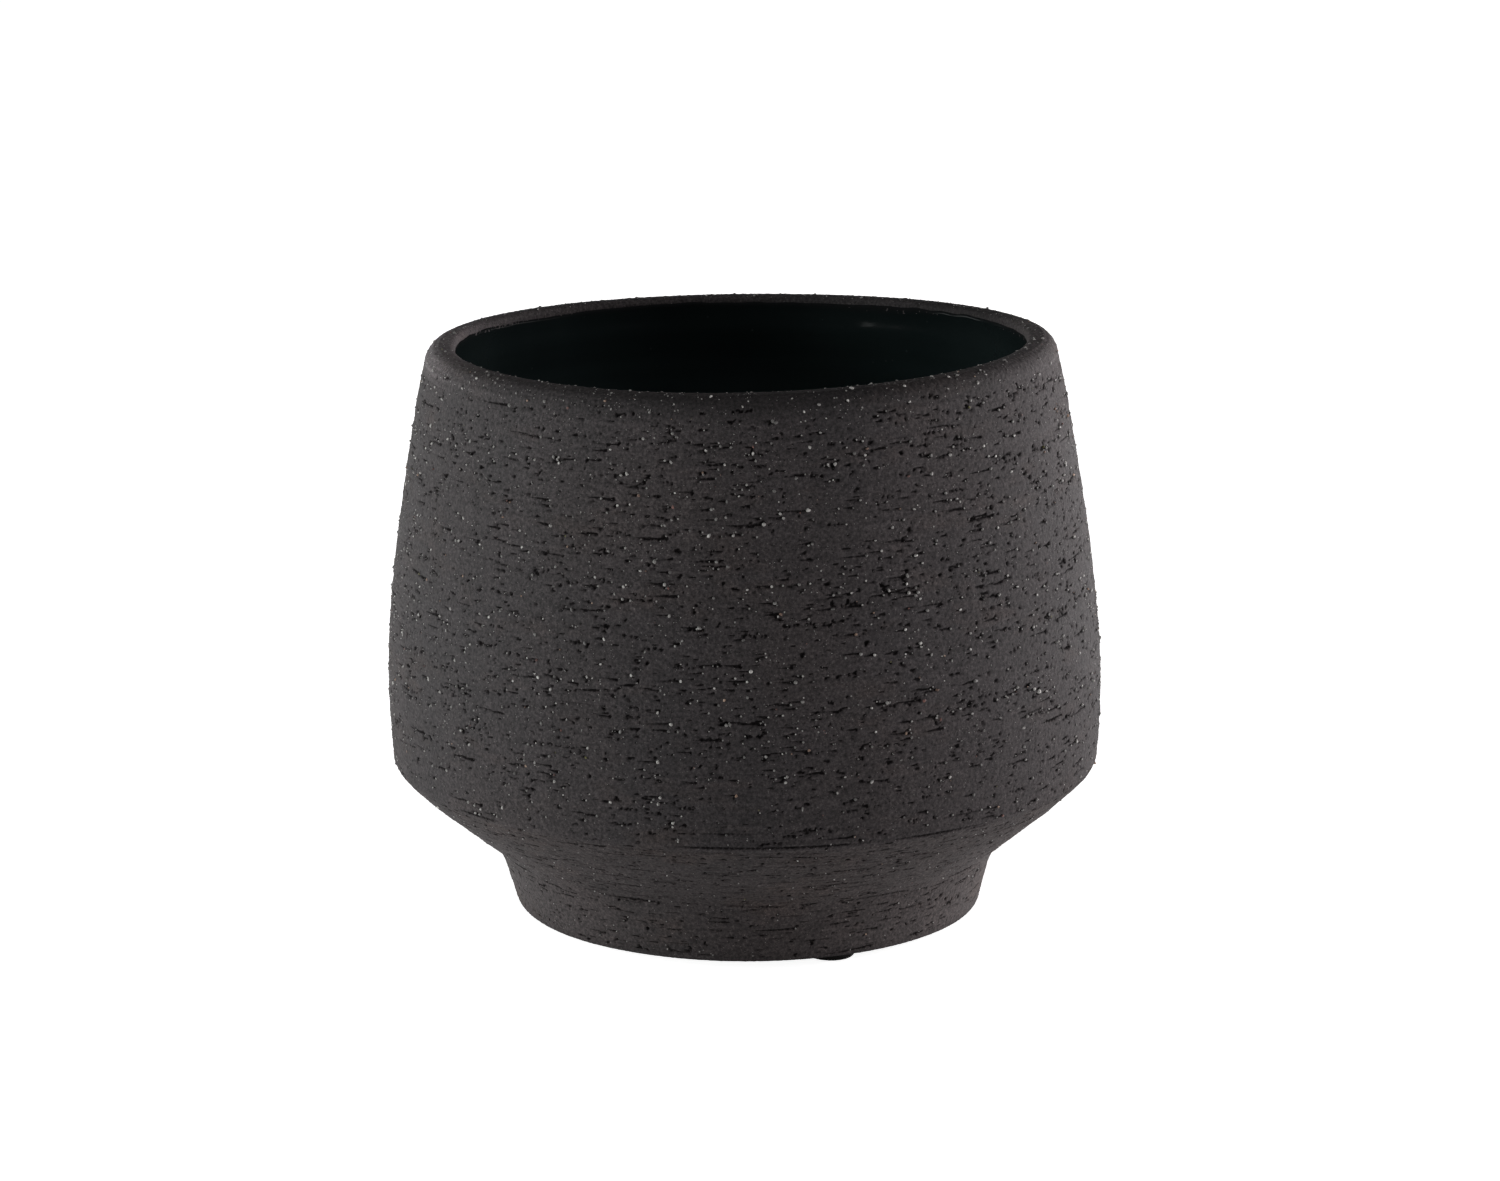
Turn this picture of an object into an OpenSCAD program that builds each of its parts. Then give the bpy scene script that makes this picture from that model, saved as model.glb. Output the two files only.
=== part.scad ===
// Empty candle jar: a squat, round-bellied vessel of coarse black stoneware on a
// turned foot, with a glassy glaze fired onto its inside, standing on three small
// self-adhesive pads. Millimetres, +Z up, the pads rest on z = 0 and the axis of
// turning is Z.

/* [Vessel outside] */
// Height of the vessel from the underside of its foot to the crest of its rim
vessel_h = 94; // [90:0.5:100]
// Radius of the foot at its underside
foot_r = 38.7; // [37.5:0.1:40]
// Radius at the crease where the foot meets the belly
crease_r = 41.8; // [40.5:0.1:43.5]
// Height of the crease above the underside of the foot
crease_z = 10.2; // [9.5:0.1:12]
// Radius of the turned shoulder at the bottom of the belly
shoulder_r = 58.2; // [56:0.1:60]
// Height of the turned shoulder
shoulder_z = 24.7; // [22.5:0.1:26]
// How far the side still swells outwards above the shoulder
side_swell = 2; // [1:0.1:3]
// Outer radius of the rim before its edge is rounded
rim_r = 51; // [49.5:0.1:52.5]

/* [Wall, rim and floor] */
// Thickness of the wall at the rim
rim_w = 4.4; // [4.3:0.1:5]
// Thickness of the wall round the belly
wall = 4.9; // [4.4:0.1:5.6]
// Rounding of the rim's outer edge
rim_round_out = 2.9; // [1.4:0.1:3.1]
// Rounding of the rim's inner edge
rim_round_in = 1.1; // [0.5:0.1:1.1]
// Height of the straight throat below the rim's inner edge
throat_h = 4.9; // [4:0.1:8]
// Height of the inside floor above the underside of the foot
floor_z = 9.5; // [8.5:0.1:11]
// Radius of the shallow recess under the foot
recess_r = 26; // [20:0.5:28]
// Depth of the recess under the foot
recess_d = 2; // [1:0.1:3]

/* [Inside glaze] */
// Thickness of the fired glaze coat
glaze_t = 0.4; // [0.3:0.05:0.6]
// Distance from the crest of the rim down to the glaze line
glaze_line = 1.5; // [1.5:0.1:3]

/* [Foot pads] */
// Diameter of a pad
pad_d = 8; // [6:0.5:9]
// Height of a pad with its adhesive film
pad_h = 1.5; // [1:0.1:2.5]
// Thickness of the adhesive film
film_t = 0.2; // [0.1:0.05:0.3]
// Gap between the rim of the foot and the edge of a pad
pad_inset = 1.6; // [1.2:0.1:3]
// Angle of the first pad, anticlockwise from the +X axis
pad_start = -66; // [-90:1:-30]

/* [Hidden] */
$fn = 180;
pad_count = 3;                                  // one node is named for each pad

pad_pitch_r = foot_r - pad_inset - pad_d / 2;   // centre of each pad
throat_r = rim_r - rim_w;                       // stoneware radius at the throat

// ---- plane curves, each point being [radius, height above the foot] ----
function mix(a, b, t) = a * (1 - t) + b * t;
function bez2(a, b, c, t) = mix(mix(a, b, t), mix(b, c, t), t);
function bez3(a, b, c, d, t) = mix(bez2(a, b, c, t), bez2(b, c, d, t), t);
function side(v) = v / norm(v);
function right_of(v) = [v[1], -v[0]];
// A shallow bow from a to b, standing off the chord by k of its length
function bow(a, b, k, n) =
    let (m = (a + b) / 2 + 2 * k * right_of(b - a))
    [for (i = [0 : n]) bez2(a, m, b, i / n)];

// Outer side of the belly, from its shoulder up to the rim
side_0 = [shoulder_r, shoulder_z];
side_1 = [shoulder_r + side_swell, shoulder_z + 0.183 * (vessel_h - shoulder_z)];
side_2 = [rim_r + 7.4, vessel_h - 0.504 * (vessel_h - shoulder_z)];
side_3 = [rim_r, vessel_h];
function outer_side(t) = bez3(side_0, side_1, side_2, side_3, t);

// Slope between the crease and the shoulder
crease = [crease_r, crease_z];
slope_dir = side(side_0 - crease);

// The crisp turn of the shoulder starts 1.2 down the slope and ends 2.5% up the side
turn_in = side_0 - slope_dir * 1.2;
turn_t = 0.025;

// The crease is eased over less than a millimetre to each side
crease_lo = crease - [0.17, 0.75];
crease_hi = crease + slope_dir * 0.8;

// Height at which the side is cut for the rim's outer rounding
rim_t = 1 - rim_round_out / (vessel_h - side_2[1]) / 3;
rim_start = outer_side(rim_t);

outer = concat(
    [[recess_r, 0], [foot_r - 0.4, 0], [foot_r - 0.1, 0.12]],
    bow([foot_r, 0.4], crease_lo, -0.02, 6),
    [for (i = [1 : 4]) bez2(crease_lo, crease, crease_hi, i / 4)],
    [for (i = [1 : 6]) bow(crease_hi, turn_in, 0.012, 6)[i]],
    [for (i = [1 : 5]) bez2(turn_in, side_0, outer_side(turn_t), i / 5)],
    [for (i = [1 : 26]) outer_side(mix(turn_t, rim_t, i / 26))],
    [for (i = [1 : 8]) bez2(rim_start, [rim_start[0] - 0.3, vessel_h],
                            [rim_r - rim_round_out, vessel_h], i / 8)]);

// Inside of the stoneware, from the throat down to the centre of the floor,
// pushed inwards by d
belly_in = shoulder_r + side_swell * 0.4 - wall;
in_0 = [throat_r, vessel_h - rim_round_in - throat_h];
in_1 = [throat_r, vessel_h - rim_round_in - throat_h - 5];
in_2 = [belly_in, mix(shoulder_z, vessel_h, 0.57)];
in_3 = [belly_in, mix(shoulder_z, vessel_h, 0.23)];
in_4 = [belly_in, shoulder_z];
in_5 = [crease_r - 4.8, floor_z];
in_6 = [crease_r - 19.8, floor_z];
inner_line = concat(
    [for (i = [0 : 12]) bez3(in_0, in_1, in_2, in_3, i / 12)],
    [for (i = [1 : 16]) bez3(in_3, in_4, in_5, in_6, i / 16)]);
// Unit normal towards the hollow at point i of the line
function hollow_normal(i) =
    let (n = len(inner_line),
         a = inner_line[max(i - 1, 0)], b = inner_line[min(i + 1, n - 1)])
    i == 0 ? [-1, 0] : i == n - 1 ? [0, 1] : side(right_of(b - a));
function inside(d) = [for (i = [0 : len(inner_line) - 1])
    inner_line[i] + d * hollow_normal(i)];

function reversed(v) = [for (i = [len(v) - 1 : -1 : 0]) v[i]];

// Rounding of the rim's inner edge, from the crest to the throat
lip = [for (i = [0 : 6]) [throat_r + rim_round_in * (1 - sin(90 * i / 6)),
                          vessel_h - rim_round_in * (1 - cos(90 * i / 6))]];

module stoneware_body()
    color([0.17, 0.155, 0.15])
    translate([0, 0, pad_h])
    difference() {
        rotate_extrude() polygon(concat([[0, 0]], outer, lip, inside(0), [[0, floor_z]]));
        // shallow recess that leaves the foot standing on its outer ring
        translate([0, 0, -1]) cylinder(r = recess_r, h = recess_d + 1);
    }

module interior_glaze()
    color([0.03, 0.06, 0.06])
    translate([0, 0, pad_h])
    rotate_extrude() polygon(concat(
        [[throat_r, vessel_h - glaze_line]], inside(0), [[0, floor_z], [0, floor_z + glaze_t]],
        reversed(inside(glaze_t)),
        [[throat_r - glaze_t, vessel_h - glaze_line - 0.5]]));

module at_pad(i)
    rotate([0, 0, pad_start + i * 360 / pad_count]) translate([pad_pitch_r, 0, 0]) children();

// A pad, with its lower edge eased
module foot_pad(i)
    color([0.02, 0.02, 0.02])
    at_pad(i) {
        cylinder(d1 = pad_d - 0.5, d2 = pad_d, h = 0.25);
        translate([0, 0, 0.25]) cylinder(d = pad_d, h = pad_h - film_t - 0.25);
    }

// The adhesive film that holds a pad to the foot
module pad_adhesive(i)
    color([0.6, 0.58, 0.52])
    at_pad(i) translate([0, 0, pad_h - film_t]) cylinder(d = pad_d - 0.4, h = film_t);

stoneware_body();
interior_glaze();
foot_pad(0);  // foot_pad_1
foot_pad(1);  // foot_pad_2
foot_pad(2);  // foot_pad_3
pad_adhesive(0);  // pad_adhesive_1
pad_adhesive(1);  // pad_adhesive_2
pad_adhesive(2);  // pad_adhesive_3
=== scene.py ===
import math

import bpy
import numpy as np
from mathutils import Matrix


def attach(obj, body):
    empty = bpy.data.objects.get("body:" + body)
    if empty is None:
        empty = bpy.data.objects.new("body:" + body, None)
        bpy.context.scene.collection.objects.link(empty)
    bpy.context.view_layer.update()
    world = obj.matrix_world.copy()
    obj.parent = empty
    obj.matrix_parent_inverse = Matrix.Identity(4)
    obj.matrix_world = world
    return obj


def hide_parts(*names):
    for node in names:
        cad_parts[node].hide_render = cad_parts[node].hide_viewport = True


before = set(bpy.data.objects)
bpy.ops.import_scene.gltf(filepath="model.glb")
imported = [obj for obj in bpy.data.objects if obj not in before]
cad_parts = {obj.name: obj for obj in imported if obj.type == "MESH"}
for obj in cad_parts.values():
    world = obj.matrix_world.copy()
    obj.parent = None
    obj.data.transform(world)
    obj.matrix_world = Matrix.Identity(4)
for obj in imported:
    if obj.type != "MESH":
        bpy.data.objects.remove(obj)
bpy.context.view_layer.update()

# ---------------------------------------------------------------------------
# An empty candle jar: coarse black stoneware, glazed inside, on three pads.
# Lengths in this file are millimetres above the underside of the foot until
# they go into a mesh; the pads lift the foot 1.5 mm off the floor.
# ---------------------------------------------------------------------------
MM = 0.001
LIFT = 1.5
H = 94.0
scene = bpy.context.scene
rng = np.random.default_rng(20236)

# ---- handmade irregularity of the thrown pot: lean and a slightly warped rim
LEAN = -0.0098
RIM_TILT = 0.0146
RIM_C2 = -0.32
RIM_S2 = 0.14


SWELL_Z = np.array([0.0, 4.0, 7.0, 10.0, 13.5, 17.0, 20.0, 23.5, 27.0, 33.0, 40.0, 48.0, 60.0, 68.0, 80.0, 85.0, 90.0, 94.0])
SWELL_R = np.array([0.22, 0.22, 0.12, 0.20, 0.27, 0.33, 0.52, 0.48, 0.20, 0.10, 0.12, 0.20, 0.20, 0.12, 0.12, 0.18, 0.05, 0.0])


def place(r, th, z):
    """Vessel radius, angle (0 = front, growing to the right) and height -> world metres."""
    belt = np.clip((r - 20.0) / 15.0, 0, 1)
    swell = np.interp(z, SWELL_Z, SWELL_R)
    side = np.cos(th - 1.05)
    swell = swell + 0.32 * np.clip(side, 0, 1) ** 6 * np.clip(1 - z / 10.0, 0, 1)
    swell = swell + 0.30 * np.clip(-np.sin(th), 0, 1) ** 2 * np.exp(-((z - 21.5) / 4.0) ** 2)
    r = r + swell * belt
    x = r * np.sin(th) + 0.10
    y = -r * np.cos(th)
    up = np.clip((z / H - 0.5) / 0.5, 0.0, 1.0)
    zz = z + (RIM_TILT * x + RIM_C2 * np.cos(2 * th) + RIM_S2 * np.sin(2 * th)) * up
    return np.stack([(x + LEAN * z) * MM, y * MM, (zz + LIFT) * MM], -1)


# ---- profile, the same curve as the CAD -----------------------------------
foot_r, crease_r, crease_z = 38.7, 41.8, 10.2
shoulder_r, shoulder_z, side_swell, rim_r = 58.2, 24.7, 2.0, 51.0
rim_w, wall, rim_out, rim_in, throat_h = 4.4, 4.9, 2.9, 1.1, 4.9
floor_z, recess_r, recess_d, glaze_t, glaze_line = 9.5, 26.0, 2.0, 0.4, 1.5
throat_r = rim_r - rim_w


def P(*v):
    return np.array(v, float)


def bez2(a, b, c, t):
    t = np.asarray(t, float)[:, None]
    return (1 - t) ** 2 * a + 2 * (1 - t) * t * b + t * t * c


def bez3(a, b, c, d, t):
    t = np.asarray(t, float)[:, None]
    return (1 - t) ** 3 * a + 3 * (1 - t) ** 2 * t * b + 3 * (1 - t) * t * t * c + t ** 3 * d


def unit(v):
    return v / np.linalg.norm(v)


def bow(a, b, k, t):
    m = (a + b) / 2 + 2 * k * P((b - a)[1], -(b - a)[0])
    return bez2(a, m, b, t)


side_0 = P(shoulder_r, shoulder_z)
side_1 = P(shoulder_r + side_swell, shoulder_z + 0.183 * (H - shoulder_z))
side_2 = P(rim_r + 7.4, H - 0.504 * (H - shoulder_z))
side_3 = P(rim_r, H)
crease = P(crease_r, crease_z)
slope_dir = unit(side_0 - crease)
turn_in = side_0 - slope_dir * 1.2
turn_t = 0.025
rim_t = 1 - rim_out / (H - side_2[1]) / 3


def outer_side(t):
    return bez3(side_0, side_1, side_2, side_3, t)


rim_start = outer_side([rim_t])[0]
belly_in = shoulder_r + side_swell * 0.4 - wall
in_0, in_1 = P(throat_r, H - rim_in - throat_h), P(throat_r, H - rim_in - throat_h - 5)
in_2 = P(belly_in, shoulder_z + 0.57 * (H - shoulder_z))
in_3 = P(belly_in, shoulder_z + 0.23 * (H - shoulder_z))
in_4, in_5, in_6 = P(belly_in, shoulder_z), P(crease_r - 4.8, floor_z), P(crease_r - 19.8, floor_z)

T = np.linspace(0, 1, 41)[1:]
foot_top = crease - P(0.17, 0.75)
OUT = np.concatenate([
    [P(foot_r - 1.2, 0), P(foot_r - 0.45, 0)],
    bez2(P(foot_r - 0.45, 0), P(foot_r, 0), P(foot_r + 0.02, 0.4), T),
    bow(P(foot_r + 0.02, 0.4), foot_top, -0.02, T),
    bez2(foot_top, crease, crease + slope_dir * 0.8, T),
    bow(crease + slope_dir * 0.8, turn_in, 0.012, T),
    bez2(turn_in, side_0, outer_side([turn_t])[0], T),
    outer_side(turn_t + (rim_t - turn_t) * np.linspace(0, 1, 201)[1:]),
    bez2(rim_start, P(rim_start[0] - 0.3, H), P(rim_r - rim_out, H), T),
    bez2(P(throat_r + rim_in, H), P(throat_r + 0.1, H - 0.1), P(throat_r, H - rim_in), T),
    [P(throat_r, H - 5.0)],
])


def resample(pts, step, keep=None):
    seg = np.linalg.norm(np.diff(pts, axis=0), axis=1)
    pts = np.concatenate([pts[:1], pts[1:][seg > 1e-9]])
    seg = np.linalg.norm(np.diff(pts, axis=0), axis=1)
    s = np.concatenate([[0], np.cumsum(seg)])
    n = max(2, int(round(s[-1] / step)) + 1)
    t = np.linspace(0, s[-1], n)
    return np.stack([np.interp(t, s, pts[:, 0]), np.interp(t, s, pts[:, 1])], 1), t


def normals_of(p):
    d = np.gradient(p, axis=0)
    n = np.stack([d[:, 1], -d[:, 0]], 1)
    return n / np.linalg.norm(n, axis=1)[:, None]


N = 1536
STEP = 0.22
prof, S = resample(OUT, STEP)
M = len(prof)
nrm = normals_of(prof)
TH = np.arange(N) * 2 * np.pi / N
DTH = 2 * np.pi / N
LEN = S[-1]
# Arc length at some landmarks
s_foot = S[np.argmin(np.abs(prof[:, 1] - 0.4) + np.abs(prof[:, 0] - foot_r))]
s_crease = S[np.argmin(np.linalg.norm(prof - crease, axis=1))]
s_shoulder = S[np.argmin(np.linalg.norm(prof - side_0, axis=1))]
s_rim = S[np.argmin(np.linalg.norm(prof - rim_start, axis=1))]
s_crest = S[np.argmin(np.linalg.norm(prof - P(rim_r - rim_out, H), axis=1))]
s_lip = S[np.argmin(np.linalg.norm(prof - P(throat_r + rim_in, H), axis=1))]


# ---- periodic band-limited noise on the (s, angle) grid ---------------------
CIRC = 2 * np.pi * 52.0


def grid_noise(seed, lu, lv, wide=0.35):
    """Noise of wavelength lu mm round the pot and lv mm up it, standard deviation 1."""
    g = np.random.default_rng(seed)
    white = g.standard_normal((1080, 2048)).astype(np.float32)
    f = np.fft.rfft2(white)
    fv = np.abs(np.fft.fftfreq(1080, LEN / 1080))[:, None]
    fu = np.abs(np.fft.rfftfreq(2048, CIRC / 2048))[None, :]
    rho = np.sqrt((fu * lu) ** 2 + (fv * lv) ** 2) + 1e-9
    f *= np.exp(-((np.log(rho)) ** 2) / (2 * wide ** 2))
    out = np.fft.irfft2(f, s=(1080, 2048))
    out /= out.std()
    rows = np.clip(np.linspace(0, 1079, M), 0, 1079)
    cols = (np.arange(N) * 2048.0 / N).astype(int)
    r0 = rows.astype(int)
    r1 = np.minimum(r0 + 1, 1079)
    w = (rows - r0)[:, None]
    return (out[r0][:, cols] * (1 - w) + out[r1][:, cols] * w).astype(np.float32)


def line_noise(seed, lv, wide=0.4):
    g = np.random.default_rng(seed)
    n = 2048
    f = np.fft.rfft(g.standard_normal(n))
    fv = np.fft.rfftfreq(n, LEN / n)
    f *= np.exp(-((np.log(fv * lv + 1e-9)) ** 2) / (2 * wide ** 2))
    out = np.fft.irfft(f, n=n)
    out /= out.std()
    return np.interp(S, np.linspace(0, LEN, n), out)[:, None].astype(np.float32)


def step_up(x, a, b):
    t = np.clip((x - a) / (b - a), 0, 1)
    return t * t * (3 - 2 * t)


sv = S[:, None].astype(np.float32)
foot_zone = step_up(sv, s_foot - 0.5, s_foot + 0.6) * (1 - step_up(sv, s_shoulder - 1.5, s_shoulder + 0.4))
outside = step_up(sv, s_foot - 1.0, s_foot + 0.5) * (1 - step_up(sv, s_lip + 1.5, s_lip + 3.0))
rim_zone = step_up(sv, s_rim - 2, s_rim + 1)

# Slow unevenness of the throwing, turning rings, clay tooth
low = grid_noise(1, 70, 30)
relief = 0.045 * low * (1 - 0.5 * rim_zone)
relief += 0.022 * line_noise(2, 4.5) * (1 + 0.5 * grid_noise(3, 120, 12))
relief += 0.013 * line_noise(4, 1.3) * (1 + 0.6 * grid_noise(5, 90, 6))
relief += 0.010 * grid_noise(6, 30, 1.1) * (0.6 + 1.6 * foot_zone)
relief += 0.017 * grid_noise(7, 1.5, 1.1)
relief += 0.016 * grid_noise(8, 0.75, 0.62)
relief *= (0.35 + 0.65 * outside)

cut = np.zeros((M, N), np.float32)      # depth of grooves and pits, mm
painted_cavity_shade = np.zeros((M, N), np.float32)     # painted shade: how much the clay is darkened in grooves and pits
bump = np.zeros((M, N), np.float32)     # clay raised over buried grains, mm

radius = prof[:, 0]
area_cdf = np.cumsum(radius * np.gradient(S))


def spots(n, lo, hi, g):
    """n points spread evenly over the surface between two arc lengths."""
    a, b = np.interp([lo, hi], S, area_cdf)
    return np.interp(g.uniform(a, b, n), area_cdf, S), g.uniform(0, 2 * np.pi, n)


def window(s0, th0, up, left, right):
    i0 = max(0, int((s0 - up) / LEN * (M - 1)))
    i1 = min(M, int((s0 + up) / LEN * (M - 1)) + 2)
    r = float(np.interp(s0, S, radius))
    j0 = int(math.floor((th0 - left / r) / DTH))
    j1 = int(math.ceil((th0 + right / r) / DTH)) + 1
    cols = np.arange(j0, j1)
    v = (S[i0:i1] - s0)[:, None]
    u = ((cols * DTH - th0) * r)[None, :]
    return slice(i0, i1), cols % N, u, v


def stamp_max(field, rows, cols, values):
    field[rows, cols] = np.maximum(field[rows, cols], values)


grains = []     # (s, angle, size in mm, kind)


def groove(s0, th0, length, w, depth, slant, g, painted_shade=1.0):
    """A drag mark: it starts as a scratch on the left and deepens to its right end; painted shade darkens its hollow.
    """
    wob = g.uniform(-0.07, 0.07)
    ph = g.uniform(0, 6.28)
    rows, cols, u, v = window(s0, th0, 3 * w + abs(slant) * length + 0.25, length + 2 * w, 3 * w)
    if v.size == 0:
        return
    t = np.clip(-u / length, -0.5, 2.0)
    along = np.where(u > 0, np.exp(-(u / (0.8 * w)) ** 2), np.clip(1 - t, 0, 1) ** 0.6)
    ww = w * np.where(u > 0, 1.0, 1.0 - 0.62 * np.clip(t, 0, 1))
    centre = slant * u + wob * np.sin(u * 2.2 + ph)
    mask = along * np.exp(-np.abs((v - centre) / ww) ** 2.6)
    stamp_max(cut, rows, cols, 1.35 * depth * mask)
    stamp_max(painted_cavity_shade, rows, cols, painted_shade * np.clip(mask * 1.6, 0, 1))


def pit(s0, th0, a, b, depth, g, painted_shade=1.0):
    """An irregular hole, a wide and b tall (half sizes), darkened with painted shade."""
    rot = g.uniform(-0.5, 0.5)
    k = g.uniform(0.15, 0.4)
    ph = g.uniform(0, 6.28, 3)
    rows, cols, u, v = window(s0, th0, 1.6 * max(a, b) + 0.1, 1.7 * a + 0.1, 1.7 * a + 0.1)
    if v.size == 0:
        return
    uu = (u * math.cos(rot) + v * math.sin(rot)) / a
    vv = (-u * math.sin(rot) + v * math.cos(rot)) / b
    ang = np.arctan2(vv, uu)
    edge = 1 + k * np.sin(2 * ang + ph[0]) + 0.6 * k * np.sin(3 * ang + ph[1]) + 0.3 * k * np.sin(5 * ang + ph[2])
    rho = np.sqrt(uu ** 2 + vv ** 2) / edge
    mask = np.exp(-rho ** 3.2)
    stamp_max(cut, rows, cols, 1.35 * depth * mask)
    stamp_max(painted_cavity_shade, rows, cols, painted_shade * np.clip(mask * 1.6, 0, 1))


def knoll(s0, th0, a, h):
    rows, cols, u, v = window(s0, th0, 2.4 * a, 2.4 * a, 2.4 * a)
    if v.size:
        stamp_max(bump, rows, cols, h * np.exp(-((u * u + v * v) / (a * a)) ** 1.2))


def thinned(n, lo, hi, g):
    """Spots that get scarcer towards the shoulder, where the tool ran lightly."""
    ss, tt = spots(n, lo, hi, g)
    keep = g.random(n) < np.interp(ss, [s_shoulder, s_shoulder + 14], [0.55, 1.0])
    return ss[keep], tt[keep]


g = np.random.default_rng(11)
side_lo, side_hi = s_shoulder + 0.3, s_rim - 0.6
# long drag marks
n = 1250
ss, tt = thinned(n, side_lo, side_hi, g)
for s0, th0 in zip(ss, tt):
    L = float(np.clip(g.lognormal(math.log(2.5), 0.5), 1.3, 8.0))
    w = float(g.uniform(0.13, 0.23))
    groove(s0, th0, L, w, g.uniform(0.10, 0.24), g.normal(0, 0.035), g, g.uniform(0.65, 1.0))
    if g.random() < 0.66:
        grains.append((s0 + g.normal(0, 0.05), th0 + 0.25 / 55, float(g.uniform(0.34, 0.8)), 0))
    elif g.random() < 0.5:
        pit(s0, th0, g.uniform(0.2, 0.34), g.uniform(0.18, 0.3), 0.26, g)
# short drag marks
n = 3150
ss, tt = thinned(n, side_lo, side_hi, g)
for s0, th0 in zip(ss, tt):
    L = float(g.uniform(0.5, 1.5))
    w = float(g.uniform(0.12, 0.22))
    groove(s0, th0, L, w, g.uniform(0.10, 0.26), g.normal(0, 0.08), g, g.uniform(0.6, 1.0))
    if g.random() < 0.4:
        grains.append((s0 + g.normal(0, 0.06), th0 + 0.22 / 55, float(g.uniform(0.26, 0.6)), 0))
# irregular pits, some in short rows as the tool chattered
n = 2950
ss, tt = thinned(n, side_lo, s_rim + 1.0, g)
for s0, th0 in zip(ss, tt):
    a = float(np.clip(g.lognormal(math.log(0.20), 0.30), 0.12, 0.38))
    pit(s0, th0, a * g.uniform(0.8, 1.5), a * g.uniform(0.7, 1.15), g.uniform(0.14, 0.34), g, g.uniform(0.6, 1.0))
    if g.random() < 0.25:
        grains.append((s0 + g.normal(0, 0.08), th0 + (a + 0.12) / 55, float(g.uniform(0.24, 0.5)), 0))
    if g.random() < 0.10:
        for k in range(int(g.integers(2, 5))):
            pit(s0 + g.normal(0, 0.08), th0 + (k + 1) * g.uniform(0.45, 0.85) / 55,
                g.uniform(0.16, 0.3), g.uniform(0.14, 0.26), g.uniform(0.14, 0.3), g, g.uniform(0.7, 1.0))
# a few deeper scars where a lump tore out
n = 40
ss, tt = spots(n, side_lo + 3, side_hi - 4, g)
for s0, th0 in zip(ss, tt):
    for k in range(int(g.integers(2, 5))):
        pit(s0 + g.normal(0, 0.28), th0 + g.normal(0, 0.45) / 55, g.uniform(0.2, 0.42), g.uniform(0.14, 0.28), g.uniform(0.2, 0.36), g, 1.0)
    grains.append((s0 + g.normal(0, 0.2), th0 + g.uniform(0.4, 0.8) / 55, float(g.uniform(0.5, 0.9)), 0))
# pinholes
n = 4600
ss, tt = spots(n, s_foot + 0.3, s_rim + 1.5, g)
for s0, th0 in zip(ss, tt):
    pit(s0, th0, g.uniform(0.10, 0.17), g.uniform(0.09, 0.15), g.uniform(0.07, 0.16), g, g.uniform(0.45, 0.9))
# the foot and the slope above it: many fine, long turning scratches
n = 2100
ss, tt = spots(n, s_foot + 0.5, s_shoulder - 0.3, g)
for s0, th0 in zip(ss, tt):
    L = float(np.clip(g.lognormal(math.log(2.4), 0.7), 0.6, 12.0))
    groove(s0, th0, L, g.uniform(0.10, 0.19), g.uniform(0.05, 0.15), g.normal(0, 0.025), g, g.uniform(0.35, 0.95))
    if g.random() < 0.08:
        grains.append((s0, th0 + 0.2 / 45, float(g.uniform(0.22, 0.46)), 0))
n = 800
ss, tt = spots(n, s_foot + 0.5, s_shoulder - 0.2, g)
for s0, th0 in zip(ss, tt):
    pit(s0, th0, g.uniform(0.16, 0.42), g.uniform(0.12, 0.24), g.uniform(0.12, 0.30), g, g.uniform(0.7, 1))


def turned_line(at, width, depth, painted_shade, level, seed, boost=0.0):
    """A line cut right round the pot by the turning tool, broken here and there, and darkened with painted shade."""
    global cut, painted_cavity_shade
    run = level + 0.55 * grid_noise(seed, 26, 60) + boost * np.exp(-((((TH + np.pi) % (2 * np.pi)) - np.pi - 0.03) / 0.30) ** 6)[None, :]
    mark = np.exp(-((sv - at) / width) ** 2) * np.clip(run, 0, 1)
    cut = np.maximum(cut, depth * mark)
    painted_cavity_shade = np.maximum(painted_cavity_shade, painted_shade * mark)


turned_line(s_shoulder + 0.15, 0.30, 0.10, 0.85, 0.25, 21, 0.8)
turned_line(s_shoulder - 1.3, 0.16, 0.06, 0.8, -0.1, 24, 0.3)
turned_line(s_shoulder - 3.6, 0.14, 0.06, 0.7, -0.2, 25, 0.2)
turned_line(s_shoulder + 2.6, 0.2, 0.05, 0.6, -0.45, 26)
turned_line(s_crease + 0.3, 0.30, 0.09, 0.75, 0.1, 27, 0.2)
turned_line(s_crease - 5.2, 0.16, 0.05, 0.5, -0.1, 22)
# long faint scratches right round the belly
n = 90
ss, tt = spots(n, side_lo, side_hi, g)
for s0, th0 in zip(ss, tt):
    groove(s0, th0, g.uniform(5, 15), g.uniform(0.08, 0.13), g.uniform(0.03, 0.06), g.normal(0, 0.012), g, g.uniform(0.25, 0.5))

# loose grains, everywhere the tool didn't drag
for n, lo, hi, kind, rng_lo, rng_hi in (
    (240, 0.42, 0.85, 0, s_foot + 0.4, s_lip),
    (1700, 0.25, 0.44, 0, s_foot + 0.3, s_lip + 0.6),
    (8000, 0.14, 0.26, 1, s_foot + 0.2, s_lip + 1.0),
    (240, 0.32, 0.72, 0, s_rim, s_lip + 0.7),
    (420, 0.16, 0.3, 1, s_rim, s_lip + 0.9),
):
    ss, tt = spots(n, rng_lo, rng_hi, g)
    for s0, th0 in zip(ss, tt):
        if g.random() < float(np.interp(s0, [s_shoulder - 0.5, s_shoulder + 0.5, s_shoulder + 9, s_shoulder + 15], [0.66, 0.60, 0.38, 0.0])):
            continue
        grains.append((float(s0), float(th0), float(lo + (hi - lo) * g.random() ** 1.8), kind))
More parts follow.
